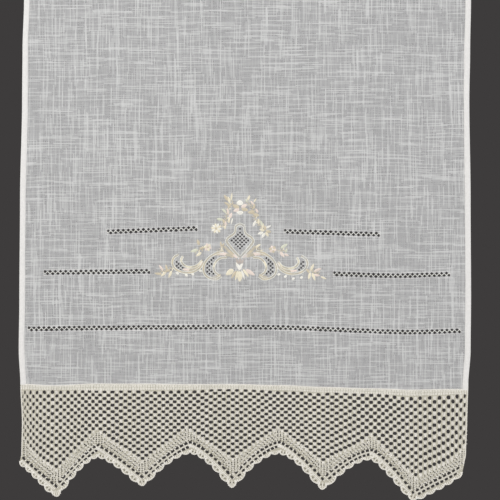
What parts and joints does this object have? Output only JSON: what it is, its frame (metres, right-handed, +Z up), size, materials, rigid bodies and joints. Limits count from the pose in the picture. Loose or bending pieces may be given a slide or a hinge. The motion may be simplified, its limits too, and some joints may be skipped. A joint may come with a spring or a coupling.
{
  "type": "rod pocket curtain",
  "caption": "Flat sheer curtain with an empty rod pocket, side hems, drawn-thread bands, a stitched floral motif and a pointed crocheted edging.",
  "frame": {"origin": "middle of the top edge of the rod pocket", "axes": "+Z up along the curtain's length, +X to the right of someone facing the curtain's front, +Y through the cloth towards the window, so the front faces -Y"},
  "size_m": [0.6091, 0.018, 0.9],
  "materials": {
    "sheer_cotton": "sheer slubbed plain weave",
    "pocket_cotton": "doubled sheer plain weave",
    "crochet_cotton": "matt mercerised crochet yarn"
  },
  "bodies": {
    "root": {"panel": "sheer_cotton", "rod_pocket": "pocket_cotton", "crochet_lace": "crochet_cotton"}
  },
  "joints": []
}
